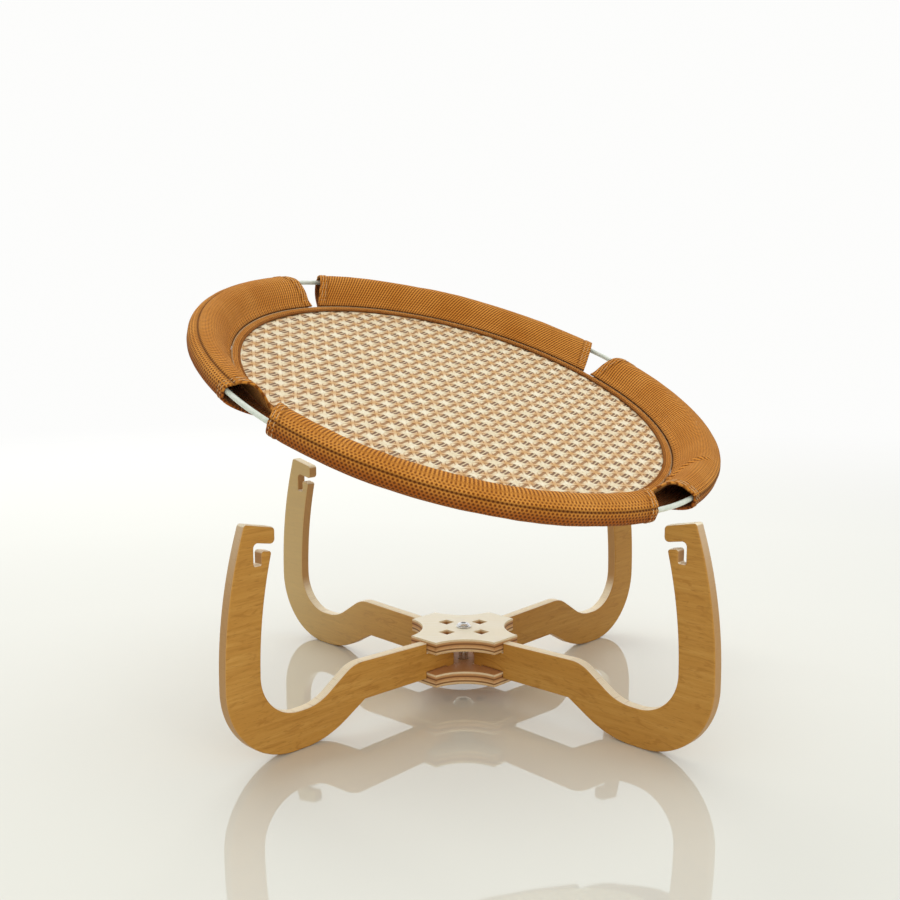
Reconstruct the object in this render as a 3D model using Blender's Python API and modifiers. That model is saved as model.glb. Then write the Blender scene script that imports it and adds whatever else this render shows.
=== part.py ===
"""Elevated pet bed: four flat plywood legs locked between two hub plates by a central bolt,
and a round lounging bed (coated steel hoop, four mesh sleeves, woven mat) that hooks onto them.

Units are metres and +Z is up. The origin lies on the floor, under the middle of the whole, lifted bed
included, so the stand's own axis stands a little beside it. Each leg is drawn in its own upright plane
as (distance from the stand's axis, height). The bed is drawn level, seated in the hooks, and one hinge
then holds it up as the photograph shows it.
"""
import math

import bmesh
import bpy
from mathutils import Matrix, Vector

MM = 0.001

# Fits between pieces that touch
SEAT = 0.3 * MM          # clearance between two pieces that sit on each other
ARC_SAG = 0.15 * MM      # how far a facet may cut inside a curve

# Hub: two plates around the inner ends of the legs
PLATE_T = 10.8 * MM      # thickness of a hub plate
PLATE_REACH = 48.0 * MM  # axis to the flat end that faces a leg
PLATE_END = 28.8 * MM    # width of that flat end
PLATE_WAIST = 35.0 * MM  # axis to the middle of a hollow side
PLATE_EDGE = 0.7 * MM    # broken edge of a plate
HUB_CLEAR = 15.0 * MM    # floor to the lower plate
HUB_CORE = 16.8 * MM     # space between the plates

# Legs
PLY = 9.0 * MM           # thickness of the leg plywood
LEG_W = 30.2 * MM        # width of the leg's band
LEG_EDGE = 1.4 * MM      # rounding along the leg's edges
RECESS_BELOW = 5.4 * MM  # how far the arm stands down past the top of the lower plate
TENON_R = 20.4 * MM      # axis to the middle of a tenon, whose inner side is the leg's end
TENON_H = 6.0 * MM       # height of a tenon
ARM_RISE = 1.2 * MM      # climb of the arm from the hub to the knee
KNEE_IN = 128.4 * MM     # knee to the outer face of the upright
KNEE_BEND = 2.0 * MM
KNEE_SLOPE = math.radians(29.5)   # fall of the underside past the knee
BACK_SLOPE = math.radians(33.5)   # fall of the top past the hump
HUMP_IN = 116.7 * MM     # hump to the outer face of the upright
HUMP_RISE = 2.6 * MM     # hump above the arm's top at the hub
HUMP_BEND = 30.0 * MM
FOOT_BEND_IN = 80.0 * MM     # underside bend from the knee to the foot
VALLEY_BEND_IN = 40.0 * MM
BOW_FROM = 66.0 * MM     # height where the upright starts to lean in
BOW_LEAD = 1.8 * MM      # straight of the inner face between the valley's bend and that height
FOOT_LEAD = 6.0 * MM     # straight of the outer face between the foot's bend and that height
BOW_OUT = 334.0 * MM     # bend of the upright's outer face
BOW_IN = 334.0 * MM      # bend of its inner face
BOW_TAIL = 8.0 * MM      # straight end of both faces at the top
UPRIGHT_OUT = 29.6 * MM  # hoop line to the upright's outer face

# Hook at the top of a leg
ROD_D = 4.0 * MM         # coated steel rod of the hoop
ROD_PLAY = 1.1 * MM      # play on each side of the rod in the pocket
MOUTH_PLAY = 0.5 * MM    # play above and below the rod in the mouth
HOOP_R = 214.8 * MM      # middle of the rod
POCKET_Z = 145.5 * MM    # floor to the bottom of the pocket
POCKET_DEPTH = 9.3 * MM
POCKET_BEND = 1.2 * MM   # rounding of the pocket's corners
MOUTH_SLOPE = math.radians(10.5)  # fall of the mouth towards the stand's axis
MOUTH_LEVEL = 9.3 * MM   # in from the hoop line, where the mouth has its stated height
THROAT_BEND = 3.4 * MM   # rounding where the mouth turns down into the pocket
TONGUE_BEND = 2.2 * MM   # rounding of the tongue's top
LIP_REACH = 18.4 * MM    # lip past the pocket's outer wall, towards the axis
LIP_T = 11.2 * MM        # lip at its nose
LIP_CREST = 5.6 * MM     # how much higher the hook's outer corner is than the nose
LIP_BEND = 3.4 * MM
CREST_BEND = 2.4 * MM    # rounding of the hook's outer corner

# Clamp: a short bolt from above in a sleeve nut from below
BARREL_D = 8.2 * MM
BARREL_DROP = 2.0 * MM   # top of the sleeve nut below the upper plate
BARREL_BORE_D = 6.6 * MM
BOLT_D = 6.0 * MM
BOLT_REACH = 20.0 * MM   # shank below the upper plate's top
HEAD_D = 10.6 * MM
HEAD_H = 3.4 * MM
NUT_HEAD_D = 15.0 * MM
NUT_HEAD_H = 2.6 * MM
NUT_SPARE = 2.0 * MM     # bore of the sleeve nut past the bolt's end
KEY_D = 4.6 * MM         # hexagon socket, across its corners
KEY_DEPTH = 1.8 * MM
BREAK = 0.8 * MM         # broken edges of the turned pieces
WASHER_T = 1.0 * MM
WASHER_D = 12.4 * MM
NUT_WASHER_D = 18.0 * MM

# Bed, measured from the middle of the hoop
NOTCH_HALF = math.radians(6.0)   # half of the gap between two sleeves, at the hoop
NOTCH_APEX = 178.0 * MM          # where the gap's two edges meet
CLOTH = 1.8 * MM                 # thickness of the mesh cloth
ROUND_UNDER = 0.4 * MM           # sleeve's lower corner in from its outermost edge
SLEEVE_IN = 30.6 * MM            # hoop line to the sleeve's inner seam
CROWN = 9.5 * MM                 # top of the sleeve above the hoop line
BELLY = 13.6 * MM                # underside of the sleeve below the hoop line
SEAM_DROP = 12.4 * MM            # inner seam below the hoop line
BIND_W = 7.5 * MM
BIND_T = 1.8 * MM
MAT_T = 2.0 * MM
MAT_SAG = 4.0 * MM

# The bed as the photograph shows it, lifted off and leaning to the front right
LIFT_X = -3.7 * MM       # seated to lifted, at the hoop's centre
LIFT_Y = -12.7 * MM
LIFT_Z = 117.9 * MM
LEAN = math.radians(21.97)
LEAN_TO = math.radians(-48.4)    # direction that the bed faces, from +X

# The stand's axis from the origin: the lifted bed overhangs the stand to the front left
STAND_X = 4.2 * MM
STAND_Y = 12.2 * MM

LEG_AZIMUTHS = {"front_left": 225, "front_right": 315, "back_left": 135, "back_right": 45}
SLEEVE_AZIMUTHS = {"front": 270, "right": 0, "back": 90, "left": 180}
HOOK_SPACING = math.radians(90)
HOOP_SIDES = 72          # flats round the hoop and, in step with them, round the sleeves

# What follows from the sizes above
LOWER_TOP = HUB_CLEAR + PLATE_T
UPPER_BOTTOM = LOWER_TOP + HUB_CORE
UPPER_TOP = UPPER_BOTTOM + PLATE_T
ARM_UNDER = LOWER_TOP - RECESS_BELOW
ARM_TOP = ARM_UNDER + LEG_W
MORTISE = PLY + 2 * SEAT
VALLEY_BEND_OUT = BOW_FROM - LEG_W - BOW_LEAD
FOOT_BEND_OUT = BOW_FROM - FOOT_LEAD
UPRIGHT_R = HOOP_R + UPRIGHT_OUT
POCKET_OUT = HOOP_R + ROD_D / 2 + ROD_PLAY
POCKET_IN = HOOP_R - ROD_D / 2 - ROD_PLAY
TONGUE_Z = POCKET_Z + POCKET_DEPTH
CEILING_Z = TONGUE_Z + ROD_D + 2 * MOUTH_PLAY
HOOP_Z = POCKET_Z + SEAT + ROD_D / 2
SEAM_R = HOOP_R - SLEEVE_IN
LIFT = Vector((LIFT_X, LIFT_Y, LIFT_Z))


def clear_scene():
    for block in list(bpy.data.objects):
        bpy.data.objects.remove(block, do_unlink=True)


def new_collection(name):
    collection = bpy.data.collections.new(name)
    bpy.context.scene.collection.children.link(collection)
    return collection


def material(name, colour, roughness, metallic=0.0):
    finish = bpy.data.materials.new(name)
    finish.use_nodes = True
    shader = finish.node_tree.nodes["Principled BSDF"]
    shader.inputs["Base Color"].default_value = (*colour, 1)
    shader.inputs["Roughness"].default_value = roughness
    shader.inputs["Metallic"].default_value = metallic
    return finish


def add_object(name, data, finish, collection):
    """A new object on the stand's axis."""
    if not data.materials:
        data.materials.append(finish)
    obj = bpy.data.objects.new(name, data)
    obj.location = (STAND_X, STAND_Y, 0)
    collection.objects.link(obj)
    return obj


def rounded(corners):
    """Outline of a polygon whose corners are (x, y, bend): each corner gets a fillet of that radius."""
    points = []
    for i, (x, y, bend) in enumerate(corners):
        here = Vector((x, y))
        back = (Vector(corners[i - 1][:2]) - here).normalized()
        ahead = (Vector(corners[(i + 1) % len(corners)][:2]) - here).normalized()
        opening = back.angle(ahead)
        if bend <= 0 or opening > math.radians(179.5):
            points.append(here)
            continue
        centre = here + (back + ahead).normalized() * (bend / math.sin(opening / 2))
        start = here + back * (bend / math.tan(opening / 2))
        turn = math.pi - opening
        steps = max(2, math.ceil(turn / (2 * math.acos(max(0.0, 1 - ARC_SAG / bend)))))
        side = 1 if (here - start).cross(ahead) > 0 else -1
        for k in range(steps + 1):
            points.append(centre + Matrix.Rotation(side * turn * k / steps, 2) @ (start - centre))
    return points


def circle(radius, sides):
    return [Vector((radius * math.cos(math.tau * k / sides), radius * math.sin(math.tau * k / sides)))
            for k in range(sides)]


def board(name, outlines, thickness, edge):
    """Curve for a flat board: the first outline is its rim, the others are holes through it."""
    curve = bpy.data.curves.new(name, 'CURVE')
    curve.dimensions = '2D'
    curve.fill_mode = 'BOTH'
    curve.extrude = thickness / 2 - edge
    curve.bevel_depth = edge
    curve.offset = -edge
    curve.bevel_resolution = 1
    for outline in outlines:
        spline = curve.splines.new('POLY')
        spline.points.add(len(outline) - 1)
        for point, place in zip(spline.points, outline):
            point.co = (place.x, place.y, 0, 1)
        spline.use_cyclic_u = True
    return curve


def turned(name, profile, sides, finish, collection, closed=False):
    """A profile of (radius, height), from its top down the outside, turned round Z with a Screw."""
    mesh = bpy.data.meshes.new(name)
    links = [(i, i + 1) for i in range(len(profile) - 1)]
    if closed:
        links.append((len(profile) - 1, 0))
    mesh.from_pydata([(r, 0, z) for r, z in profile], links, [])
    obj = add_object(name, mesh, finish, collection)
    screw = obj.modifiers.new("turn", 'SCREW')
    screw.axis = 'Z'
    screw.steps = screw.render_steps = sides
    screw.use_merge_vertices = True
    screw.merge_threshold = 0.01 * MM
    screw.use_smooth_shade = False
    return obj


def bowed(face_r, bend, height):
    """An upright's face that bends in and ends straight: its bend's corner, and its r at the height."""
    lean = math.asin((height - BOW_TAIL - BOW_FROM) / bend)
    corner_z = BOW_FROM + bend * math.tan(lean / 2)
    return (face_r, corner_z, bend), face_r - (height - corner_z) * math.tan(lean)


def leg_outline():
    """The S-shaped leg with its two pairs of hub steps and the hook, as one outline."""
    inner_face = UPRIGHT_R - LEG_W
    stop = PLATE_REACH + SEAT
    low, high = LOWER_TOP + SEAT, UPPER_BOTTOM - SEAT
    tenon = (TENON_R - PLY / 2, TENON_R + PLY / 2)
    knee = (UPRIGHT_R - KNEE_IN, ARM_UNDER + ARM_RISE)
    foot_corner = knee[0] + knee[1] / math.tan(KNEE_SLOPE)
    crest = CEILING_Z + LIP_T + LIP_CREST
    hump = (UPRIGHT_R - HUMP_IN, ARM_TOP + HUMP_RISE)
    valley = LEG_W
    back_corner = hump[0] + (hump[1] - valley) / math.tan(BACK_SLOPE)
    nose = POCKET_OUT - LIP_REACH
    outer_bow, outer_top = bowed(UPRIGHT_R, BOW_OUT, crest)
    inner_bow, inner_top = bowed(inner_face, BOW_IN, TONGUE_Z)

    def sloped(r, level):
        return r, level + (r - HOOP_R + MOUTH_LEVEL) * math.tan(MOUTH_SLOPE)

    return rounded([
        (tenon[0], low - TENON_H, 0), (tenon[1], low - TENON_H, 0),
        (tenon[1], low, 0), (stop, low, 0), (stop, ARM_UNDER, 0), (*knee, KNEE_BEND),
        (foot_corner, 0, FOOT_BEND_IN), (UPRIGHT_R, 0, FOOT_BEND_OUT),
        outer_bow, (outer_top, crest, CREST_BEND),
        (nose, CEILING_Z + LIP_T, LIP_BEND), (*sloped(nose, CEILING_Z), LIP_BEND),
        (*sloped(POCKET_OUT, CEILING_Z), THROAT_BEND), (POCKET_OUT, POCKET_Z, POCKET_BEND),
        (POCKET_IN, POCKET_Z, POCKET_BEND), (*sloped(POCKET_IN, TONGUE_Z), TONGUE_BEND),
        (*sloped(inner_top, TONGUE_Z), TONGUE_BEND), inner_bow,
        (inner_face, valley, VALLEY_BEND_OUT), (back_corner, valley, VALLEY_BEND_IN),
        (*hump, HUMP_BEND), (stop, ARM_TOP, 0), (stop, high, 0),
        (tenon[1], high, 0), (tenon[1], high + TENON_H, 0),
        (tenon[0], high + TENON_H, 0)])


def build_legs(collection, finish):
    outline = leg_outline()
    for name, azimuth in LEG_AZIMUTHS.items():
        leg = add_object("leg_" + name, board("leg_" + name, [outline], PLY, LEG_EDGE), finish, collection)
        leg.rotation_euler = (math.pi / 2, 0, math.radians(azimuth))


def plate_outline():
    """Four flat ends on the diagonals, with a hollow arc between each two."""
    points = []
    steps = 8
    for k in range(4):
        turn = Matrix.Rotation(math.radians(45 + 90 * k), 2)
        end = turn @ Vector((PLATE_REACH, PLATE_END / 2))
        waist = turn @ Matrix.Rotation(math.radians(45), 2) @ Vector((PLATE_WAIST, 0))
        chord = waist.normalized() * end.dot(waist.normalized())
        half, sag = (end - chord).length, (chord - waist).length
        bend = (half ** 2 + sag ** 2) / (2 * sag)
        centre = waist + waist.normalized() * bend
        sweep = 2 * math.asin(half / bend)
        for i in range(steps + 1):
            points.append(centre + Matrix.Rotation(-sweep * i / steps, 2) @ (end - centre))
    return points


def build_hub(collection, finish):
    mortises = []
    for k in range(4):
        turn = Matrix.Rotation(math.radians(45 + 90 * k), 2)
        mortises.append([turn @ Vector((TENON_R + x * MORTISE / 2, y * MORTISE / 2))
                         for x, y in ((-1, -1), (1, -1), (1, 1), (-1, 1))])
    for side, low, shaft in (("bottom", HUB_CLEAR, BARREL_D), ("top", UPPER_BOTTOM, BOLT_D)):
        name = "hub_plate_" + side
        bore = circle(shaft / 2 + SEAT, 16)
        curve = board(name, [plate_outline()] + mortises + [bore], PLATE_T, PLATE_EDGE)
        add_object(name, curve, finish, collection).location.z = low + PLATE_T / 2


def key_socket(screw_piece, across, opening_z, depth, cutters):
    """Cuts a hexagon socket into a turned piece: depth is positive downwards."""
    bpy.ops.mesh.primitive_cylinder_add(vertices=6, radius=across / 2, depth=2 * abs(depth),
                                        location=(STAND_X, STAND_Y, opening_z))
    cutter = bpy.context.object
    cutter.name = screw_piece.name + "_key"
    for owner in list(cutter.users_collection):
        owner.objects.unlink(cutter)
    cutters.objects.link(cutter)
    cutter.hide_render = True
    cutter.display_type = 'WIRE'
    cut = screw_piece.modifiers.new("key", 'BOOLEAN')
    cut.operation = 'DIFFERENCE'
    cut.object = cutter


def build_clamp(collection, cutters, finish):
    head = UPPER_TOP + SEAT + WASHER_T + SEAT
    shank_end = UPPER_TOP - BOLT_REACH
    half = BOLT_D / 2
    bolt = turned("clamp_bolt", [
        (0, head + HEAD_H), (HEAD_D * 0.32, head + HEAD_H), (HEAD_D * 0.43, head + 0.8 * HEAD_H),
        (HEAD_D / 2, head + 0.4 * HEAD_H), (HEAD_D / 2, head), (half, head),
        (half, shank_end + BREAK), (half - BREAK, shank_end), (0, shank_end)], 24, finish, collection)
    key_socket(bolt, KEY_D, head + HEAD_H, KEY_DEPTH, cutters)

    low = HUB_CLEAR - SEAT - WASHER_T - SEAT
    top = UPPER_BOTTOM - BARREL_DROP
    bore, barrel = BARREL_BORE_D / 2, BARREL_D / 2
    nut = turned("sleeve_nut", [
        (0, shank_end - NUT_SPARE), (bore, shank_end - NUT_SPARE), (bore, top), (barrel, top),
        (barrel, low),
        (NUT_HEAD_D / 2, low), (NUT_HEAD_D / 2, low - NUT_HEAD_H + BREAK),
        (NUT_HEAD_D / 2 - BREAK, low - NUT_HEAD_H), (0, low - NUT_HEAD_H)], 24, finish, collection)
    key_socket(nut, KEY_D * 1.2, low - NUT_HEAD_H, KEY_DEPTH * 0.9, cutters)

    for name, bottom, shaft, across in (("bolt_washer", UPPER_TOP + SEAT, BOLT_D, WASHER_D),
                                        ("nut_washer", low + SEAT, BARREL_D, NUT_WASHER_D)):
        inner, outer = shaft / 2 + SEAT, across / 2
        turned(name, [(outer, bottom + WASHER_T), (outer, bottom), (inner, bottom),
                      (inner, bottom + WASHER_T)], 24, finish, collection, closed=True)


def build_hoop(collection, finish):
    bpy.ops.mesh.primitive_torus_add(major_radius=HOOP_R, minor_radius=ROD_D / 2,
                                     major_segments=HOOP_SIDES, minor_segments=8)
    hoop = bpy.context.object
    hoop.name = hoop.data.name = "hoop"
    for owner in list(hoop.users_collection):
        owner.objects.unlink(hoop)
    collection.objects.link(hoop)
    hoop.data.materials.append(finish)
    return hoop


def sleeve_section():
    """Section of a sleeve as (radius, height) about the hoop: snug round the rod, full, thin at the seam.

    It runs from the lower layer's sewn edge, out round the rod and back to the upper layer's sewn edge.
    """
    out = HOOP_R + ROD_D / 2 + SEAT + CLOTH
    low, high = -SEAM_DROP - CLOTH - SEAT / 2, -SEAM_DROP + CLOTH + SEAT / 2

    def across(share):
        return SEAM_R + share * (out - SEAM_R)

    def up(share):
        return high + share * (CROWN - high)

    return [(SEAM_R, low), (across(0.16), low), (across(0.4), -BELLY), (across(0.66), -0.86 * BELLY),
            (across(0.86), -0.66 * BELLY), (out - ROUND_UNDER, -0.38 * BELLY), (out, -0.4 * ROD_D),
            (out, 0.4 * ROD_D), (across(0.96), 0.5 * CROWN), (across(0.83), up(0.9)),
            (across(0.66), CROWN), (across(0.45), up(0.95)), (across(0.25), up(0.6)),
            (across(0.11), up(0.2)), (SEAM_R, high)]


def build_sleeve(name, azimuth, collection, finish):
    """The section spun a quarter round the hoop, cut back in a V at both ends, and given thickness."""
    shape = bmesh.new()
    points = [shape.verts.new((r, 0, z)) for r, z in sleeve_section()]
    seams = [shape.edges.new(pair) for pair in zip(points, points[1:])]
    quarter = Matrix.Rotation(-HOOK_SPACING / 2, 4, 'Z')
    shape.transform(quarter)
    bmesh.ops.spin(shape, geom=points + seams, cent=(0, 0, 0), axis=(0, 0, 1),
                   angle=HOOK_SPACING, steps=HOOP_SIDES // 4)
    flare = math.atan2(HOOP_R * math.sin(NOTCH_HALF), HOOP_R * math.cos(NOTCH_HALF) - NOTCH_APEX)
    for side in (-1, 1):
        corner = side * HOOK_SPACING / 2
        apex = Vector((NOTCH_APEX * math.cos(corner), NOTCH_APEX * math.sin(corner), 0))
        cut = corner - side * flare + side * math.pi / 2
        bmesh.ops.bisect_plane(shape, geom=list(shape.verts) + list(shape.edges) + list(shape.faces),
                               dist=0.01 * MM, plane_co=apex, clear_outer=True,
                               plane_no=(math.cos(cut), math.sin(cut), 0))
    bmesh.ops.recalc_face_normals(shape, faces=shape.faces)
    mesh = bpy.data.meshes.new("sleeve_" + name)
    shape.to_mesh(mesh)
    shape.free()
    mesh.transform(Matrix.Rotation(math.radians(azimuth), 4, 'Z'))
    sleeve = add_object("sleeve_" + name, mesh, finish, collection)
    cloth = sleeve.modifiers.new("cloth", 'SOLIDIFY')
    cloth.thickness = CLOTH
    cloth.offset = -1
    cloth.use_even_offset = True
    return sleeve


def mat_height(radius):
    """Top of the mat, which sags towards its middle, at a distance from the hoop's centre."""
    return -SEAM_DROP - BIND_T / 2 - MAT_SAG * (1 - (radius / (SEAM_R - SEAT)) ** 2)


def build_mat(collection, woven, tape):
    rim = SEAM_R - SEAT
    radii = [rim * k / 6 for k in range(7)]
    top = [(r, mat_height(r)) for r in radii]
    mat = turned("woven_mat", top + [(r, z - MAT_T) for r, z in reversed(top)], 48, woven, collection)

    inner, soft = rim - BIND_W, BIND_T * 0.4
    inside, outside = mat_height(inner) + SEAT, mat_height(rim) + SEAT
    binding = turned("mat_binding", [
        (inner + soft, inside + BIND_T), (rim - soft, outside + BIND_T), (rim, outside + BIND_T - soft),
        (rim, outside), (inner, inside), (inner, inside + BIND_T - soft)], 64, tape, collection, closed=True)
    return [mat, binding]


def lift_hinge():
    """Axis and angle that carry the seated bed to where the photograph shows it."""
    seat = Vector((STAND_X, STAND_Y, HOOP_Z))
    up = Vector((0, 0, 1))
    facing = Vector((math.sin(LEAN) * math.cos(LEAN_TO), math.sin(LEAN) * math.sin(LEAN_TO), math.cos(LEAN)))
    level = up.cross(facing).normalized()
    middle = (up + facing).normalized()
    tip = math.atan2(-level.dot(LIFT), middle.dot(LIFT))
    axis = (level * math.cos(tip) + middle * math.sin(tip)).normalized()
    angle = 2 * math.asin(math.sin(LEAN / 2) / math.sqrt(1 - axis.z ** 2))
    point = seat + LIFT / 2 + axis.cross(LIFT) / (2 * math.tan(angle / 2))
    return point, axis, angle


def hang_bed(pieces, collection):
    """The bed's pieces under one empty on the hinge, turned from seated to lifted."""
    point, axis, angle = lift_hinge()
    hinge = bpy.data.objects.new("bed_lift_axis", None)
    hinge.empty_display_size = 0.03
    collection.objects.link(hinge)
    hinge.matrix_world = Matrix.Translation(point) @ Matrix.Rotation(angle, 4, axis)
    for piece in pieces:
        piece.parent = hinge
        piece.location = Vector((STAND_X, STAND_Y, HOOP_Z)) - point
    print("bed lift hinge: point", [round(v, 5) for v in point], "axis", [round(v, 5) for v in axis],
          "angle", round(math.degrees(angle), 3))


def build():
    clear_scene()
    parts = new_collection("elevated_pet_bed")
    cutters = new_collection("cutters")
    ply = material("leg_plywood", (0.46, 0.20, 0.045), 0.5)
    birch = material("hub_birch", (0.80, 0.70, 0.52), 0.5)
    chrome = material("chrome", (0.75, 0.75, 0.75), 0.2, 1.0)
    steel = material("hoop_coating", (0.75, 0.80, 0.70), 0.35)
    cloth = material("mesh_cloth", (0.45, 0.17, 0.04), 0.9)
    woven = material("woven_straw", (0.80, 0.68, 0.48), 0.8)
    tape = material("binding_tape", (0.40, 0.15, 0.04), 0.85)
    build_legs(parts, ply)
    build_hub(parts, birch)
    build_clamp(parts, cutters, chrome)
    bed = [build_hoop(parts, steel)]
    bed += [build_sleeve(name, azimuth, parts, cloth) for name, azimuth in SLEEVE_AZIMUTHS.items()]
    bed += build_mat(parts, woven, tape)
    hang_bed(bed, parts)


build()
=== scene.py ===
"""Looks of the elevated pet bed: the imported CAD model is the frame, and finer pieces stand for its nodes.

Metres, +Z up, the CAD's own frame. Legs and plates are drawn from the CAD's outlines with finer curves.
Every piece of the bed is made in the bed's own frame, whose origin is the middle of the hoop. Its mesh
is then carried to where the bed hangs at rest and keeps the first places for its materials to read.
"""
import math

import bmesh
import bpy
from mathutils import Matrix, Vector, noise


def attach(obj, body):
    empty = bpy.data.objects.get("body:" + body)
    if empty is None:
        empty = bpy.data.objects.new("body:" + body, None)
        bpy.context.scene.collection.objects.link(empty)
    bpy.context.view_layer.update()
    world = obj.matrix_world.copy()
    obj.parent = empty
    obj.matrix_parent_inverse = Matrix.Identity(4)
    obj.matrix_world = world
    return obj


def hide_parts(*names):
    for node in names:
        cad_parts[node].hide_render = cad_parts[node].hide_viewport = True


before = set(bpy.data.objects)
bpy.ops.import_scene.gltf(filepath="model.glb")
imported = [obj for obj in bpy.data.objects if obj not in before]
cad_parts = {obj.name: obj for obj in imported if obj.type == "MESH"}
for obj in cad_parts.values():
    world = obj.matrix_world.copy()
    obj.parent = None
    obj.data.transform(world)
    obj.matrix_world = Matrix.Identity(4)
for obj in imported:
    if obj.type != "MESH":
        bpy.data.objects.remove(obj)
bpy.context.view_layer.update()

MM = 0.001
SQUARE = ((-1, -1), (1, -1), (1, 1), (-1, 1))                                   # corners, in order
DIAGONALS = [Matrix.Rotation(math.radians(45 + 90 * k), 2) for k in range(4)]   # turns to the legs

# The CAD's sizes that the finer pieces share
SEAT = 0.3 * MM
ARC_SAG = 0.02 * MM
PLATE_T = 10.8 * MM
PLATE_REACH = 48.0 * MM
PLATE_END = 28.8 * MM
PLATE_WAIST = 35.0 * MM
PLATE_EDGE = 0.7 * MM
HUB_CLEAR = 15.0 * MM
HUB_CORE = 16.8 * MM
PLY = 9.0 * MM
LEG_W = 30.2 * MM
LEG_EDGE = 1.4 * MM
RECESS_BELOW = 5.4 * MM
TENON_R = 20.4 * MM
TENON_H = 6.0 * MM
ARM_RISE = 1.2 * MM
KNEE_IN = 128.4 * MM
KNEE_BEND = 2.0 * MM
KNEE_SLOPE = math.radians(29.5)
BACK_SLOPE = math.radians(33.5)
HUMP_IN = 116.7 * MM
HUMP_RISE = 2.6 * MM
HUMP_BEND = 30.0 * MM
FOOT_BEND_IN = 80.0 * MM
FOOT_BEND_OUT = 60.0 * MM
VALLEY_BEND_IN = 40.0 * MM
VALLEY_BEND_OUT = 34.0 * MM
BOW_FROM = 66.0 * MM
BOW = 334.0 * MM
BOW_TAIL = 8.0 * MM
UPRIGHT_OUT = 29.6 * MM
ROD_D = 4.0 * MM
ROD_PLAY = 1.1 * MM
MOUTH_PLAY = 0.5 * MM
HOOP_R = 214.8 * MM
POCKET_Z = 145.5 * MM
POCKET_DEPTH = 9.3 * MM
POCKET_BEND = 1.2 * MM
MOUTH_SLOPE = math.radians(10.5)
MOUTH_LEVEL = 9.3 * MM
THROAT_BEND = 3.4 * MM
TONGUE_BEND = 2.2 * MM
LIP_REACH = 18.4 * MM
LIP_T = 11.2 * MM
LIP_CREST = 5.6 * MM
LIP_BEND = 3.4 * MM
CREST_BEND = 2.4 * MM
BARREL_D = 8.2 * MM
BARREL_DROP = 2.0 * MM
BARREL_BORE_D = 6.6 * MM
BOLT_D = 6.0 * MM
BOLT_REACH = 20.0 * MM
HEAD_D = 10.6 * MM
HEAD_H = 3.4 * MM
HEAD_EDGE = 0.3 * MM
HEAD_SPARE = 1.3 * MM
NUT_HEAD_D = 15.0 * MM
NUT_HEAD_H = 2.6 * MM
KEY_D = 4.6 * MM
KEY_DEPTH = 1.8 * MM
WASHER_T = 1.0 * MM
WASHER_D = 12.4 * MM
NUT_WASHER_D = 18.0 * MM
NOTCH_HALF = math.radians(6.0)
NOTCH_APEX = 178.0 * MM
CLOTH = 1.8 * MM
ROUND_UNDER = 0.4 * MM
SLEEVE_IN = 30.6 * MM
CROWN = 9.5 * MM
BELLY = 13.6 * MM
SEAM_DROP = 12.4 * MM
BIND_W = 7.5 * MM
BIND_T = 1.8 * MM
MAT_T = 2.0 * MM
MAT_SAG = 4.0 * MM
LIFT = Vector((-3.7 * MM, -12.7 * MM, 117.9 * MM))
LEAN = math.radians(21.97)
LEAN_TO = math.radians(-48.4)
STAND = Vector((4.2 * MM, 12.2 * MM, 0))

# Azimuth in degrees, and shares of paler and darker wood
LEGS = {"front_left": (225, 0.0, 0.0), "front_right": (315, 0.0, 0.05),
        "back_left": (135, 0.7, 0.0), "back_right": (45, 0.0, 0.25)}
# Azimuth in degrees, and height of the groove in the cloth
SLEEVES = {"front": (270, 3.8 * MM), "right": (0, 2.0 * MM), "back": (90, 2.0 * MM), "left": (180, 7.5 * MM)}

LOWER_TOP = HUB_CLEAR + PLATE_T
UPPER_BOTTOM = LOWER_TOP + HUB_CORE
UPPER_TOP = UPPER_BOTTOM + PLATE_T
ARM_UNDER = LOWER_TOP - RECESS_BELOW
ARM_TOP = ARM_UNDER + LEG_W
MORTISE = PLY + 2 * SEAT
UPRIGHT_R = HOOP_R + UPRIGHT_OUT
POCKET_OUT = HOOP_R + ROD_D / 2 + ROD_PLAY
POCKET_IN = HOOP_R - ROD_D / 2 - ROD_PLAY
TONGUE_Z = POCKET_Z + POCKET_DEPTH
CEILING_Z = TONGUE_Z + ROD_D + 2 * MOUTH_PLAY
HOOP_Z = POCKET_Z + SEAT + ROD_D / 2
SEAM_R = HOOP_R - SLEEVE_IN
MAT_R = SEAM_R - SEAT
TAPE_IN = MAT_R - BIND_W     # inner rim of the tape over the mat's edge

# The clamp's finer forms
FLUTES = 10
FLUTE_DEPTH = 0.5 * MM
KEY_SOFT = 0.15 * MM
KEY_FLARE = 1.08             # the dome opens a little wider than the key's hole
NUT_KEY_R = 0.6 * KEY_D
THREAD_PITCH = 1.0 * MM
THREAD_DEPTH = 0.25 * MM
BOLT_POINT = 0.6 * MM        # how far the bolt's end narrows
BORE_SPARE = 2.0 * MM        # bore beyond the bolt's end
FLUTED = 8.5 * MM            # length of the fluted part of the barrel
BARREL_STEP = 0.4 * MM
WASHER_EDGE = 0.25 * MM

# Materials: sizes, and colours as red, green and blue from 0 to 255
GRAIN_SHIFT = 3.7            # between the grains of two legs
VENEER = 1.5 * MM
HEAD_TONE = (234, 236, 238)
BARREL_TONE = (214, 206, 192)
PALE_THREAD = (226, 196, 150)
BROWN_THREAD = (112, 62, 24)

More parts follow.
